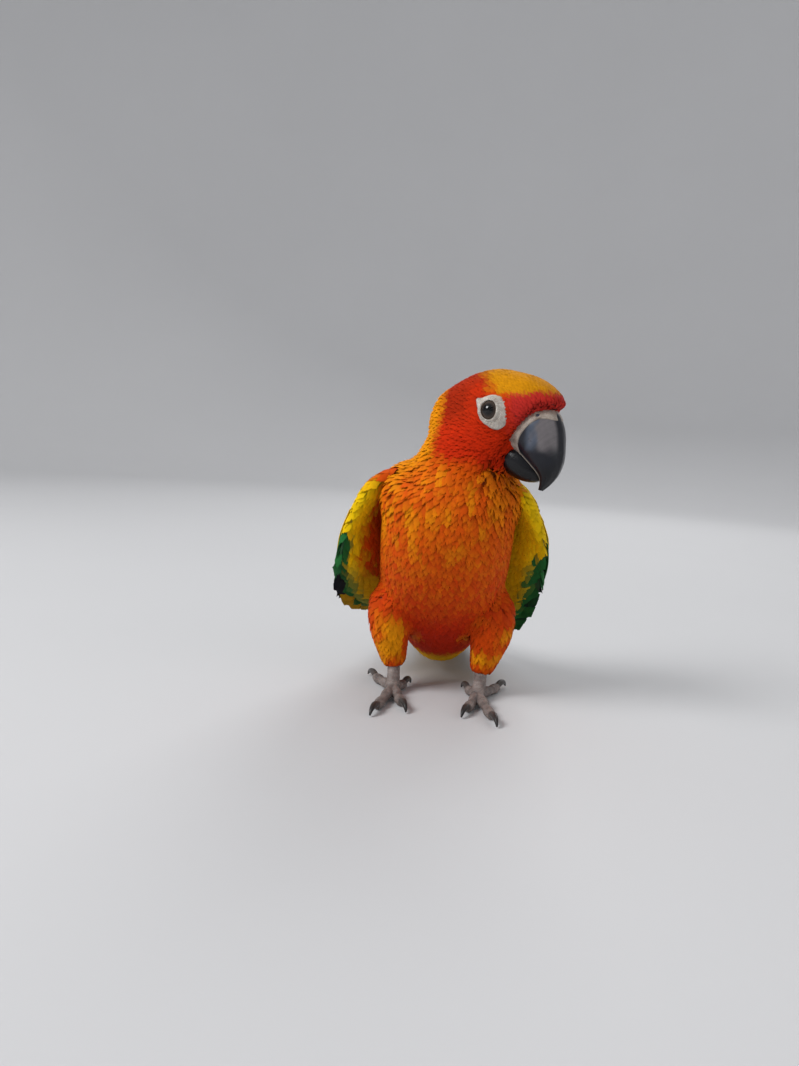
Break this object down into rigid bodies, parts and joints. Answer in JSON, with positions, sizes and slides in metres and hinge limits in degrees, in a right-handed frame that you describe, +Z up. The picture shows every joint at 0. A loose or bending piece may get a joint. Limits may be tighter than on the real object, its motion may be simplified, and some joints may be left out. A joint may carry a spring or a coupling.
{
  "type": "sun conure",
  "caption": "Life-size still model of a small parrot that stands on its feet and tail, head turned to its left and wings held a little off the body.",
  "frame": {"origin": "on the floor, under the middle of the bird's bounding box", "axes": "-Y is the way the breast faces, +X is the bird's left, +Z is up"},
  "size_m": [0.0786, 0.2022, 0.1171],
  "materials": {
    "head_feathers": "short soft feathers, red on the face and golden on the crown",
    "body_feathers": "soft overlapping feathers, orange with yellow mottling",
    "wing_feathers": "firm flat feathers, yellow above with green and black outer feathers",
    "tail_feathers": "firm flat feathers, olive green with dark tips",
    "bare_skin": "fine-grained bare skin, matt",
    "eye": "wet gloss",
    "bill": "horn, worn satin",
    "foot_skin": "small scales, dry",
    "claw": "horn, satin"
  },
  "bodies": {
    "root": {"head": "head_feathers", "neck": "body_feathers", "torso": "body_feathers", "cere": "bare_skin", "upper_mandible": "bill", "lower_mandible": "bill", "eye_left": "eye", "eye_ring_left": "bare_skin", "wing_left": "wing_feathers", "thigh_left": "body_feathers", "foot_left": "foot_skin", "claw_left_inner_front": "claw", "claw_left_outer_front": "claw", "claw_left_outer_back": "claw", "claw_left_inner_back": "claw", "eye_right": "eye", "eye_ring_right": "bare_skin", "wing_right": "wing_feathers", "thigh_right": "body_feathers", "foot_right": "foot_skin", "claw_right_inner_front": "claw", "claw_right_outer_front": "claw", "claw_right_outer_back": "claw", "claw_right_inner_back": "claw", "tail": "tail_feathers"}
  },
  "joints": []
}
